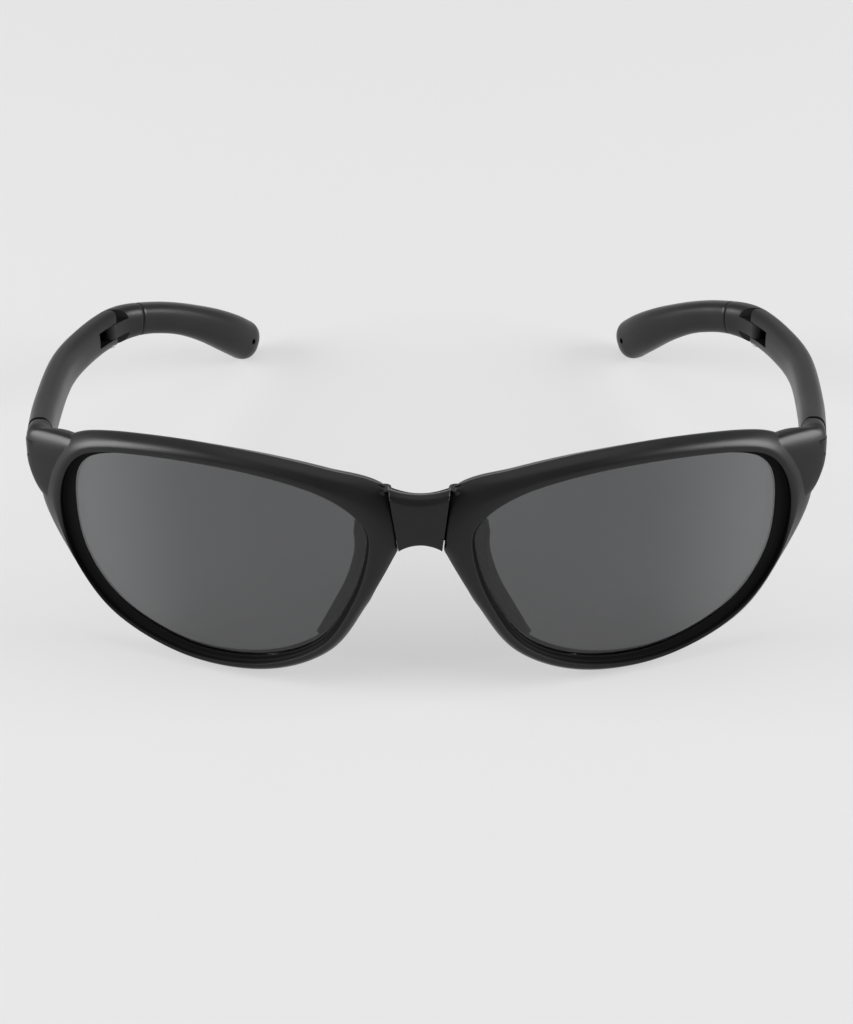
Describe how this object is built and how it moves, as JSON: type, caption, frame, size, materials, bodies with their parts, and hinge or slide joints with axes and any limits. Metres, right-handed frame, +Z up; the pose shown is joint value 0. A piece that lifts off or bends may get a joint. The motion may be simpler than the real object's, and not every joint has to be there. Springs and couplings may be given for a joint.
{
  "type": "folding sunglasses",
  "caption": "Folding sunglasses with smoky wrap lenses, a hinged centre bridge, and temples that fold at the front and again halfway along.",
  "frame": {"origin": "middle of the bounding box, on the plane that the lower rims and the temple tips stand on", "axes": "+X to the viewer's right along the width, +Y from the front back along the temples, +Z up"},
  "size_m": [0.1552, 0.1162, 0.0474],
  "materials": {
    "frame_plastic": "soft satin black with a faint grain",
    "lens_plastic": "polished smoky grey, uncoated",
    "pad_rubber": "soft matte",
    "pin_steel": "plain turned steel"
  },
  "bodies": {
    "bridge": {"bridge": "frame_plastic"},
    "front_right": {"rim_right": "frame_plastic", "lens_right": "lens_plastic", "nose_pad_right": "pad_rubber", "bridge_pin_right": "pin_steel", "temple_screw_right": "pin_steel"},
    "temple_right": {"temple_front_right": "frame_plastic", "fold_screw_right": "pin_steel"},
    "temple_rear_right": {"fold_link_right": "frame_plastic", "temple_tip_right": "frame_plastic"},
    "front_left": {"rim_left": "frame_plastic", "lens_left": "lens_plastic", "nose_pad_left": "pad_rubber", "bridge_pin_left": "pin_steel", "temple_screw_left": "pin_steel"},
    "temple_left": {"temple_front_left": "frame_plastic", "fold_screw_left": "pin_steel"},
    "temple_rear_left": {"fold_link_left": "frame_plastic", "temple_tip_left": "frame_plastic"}
  },
  "joints": [
    {"name": "bridge_hinge_right", "type": "hinge", "parent": "bridge", "child": "front_right", "pos_m": [0.00625, -0.0518, 0.03768], "axis": [0.1337, 0.1524, 0.9792], "range_deg": [0, 30]},
    {"name": "temple_hinge_right", "type": "hinge", "parent": "front_right", "child": "temple_right", "pos_m": [0.074, -0.02671, 0.03508], "axis": [0, 0.2224, 0.975], "range_deg": [0, 64]},
    {"name": "temple_fold_right", "type": "hinge", "parent": "temple_right", "child": "temple_rear_right", "pos_m": [0.06786, 0.02627, 0.02546], "axis": [0, 0.2224, 0.975], "range_deg": [0, 134]},
    {"name": "bridge_hinge_left", "type": "hinge", "parent": "bridge", "child": "front_left", "pos_m": [-0.00625, -0.0518, 0.03768], "axis": [-0.1337, 0.1524, 0.9792], "range_deg": [-30, 0]},
    {"name": "temple_hinge_left", "type": "hinge", "parent": "front_left", "child": "temple_left", "pos_m": [-0.074, -0.02671, 0.03508], "axis": [0, 0.2224, 0.975], "range_deg": [-64, 0]},
    {"name": "temple_fold_left", "type": "hinge", "parent": "temple_left", "child": "temple_rear_left", "pos_m": [-0.06786, 0.02627, 0.02546], "axis": [0, 0.2224, 0.975], "range_deg": [-134, 0]}
  ]
}
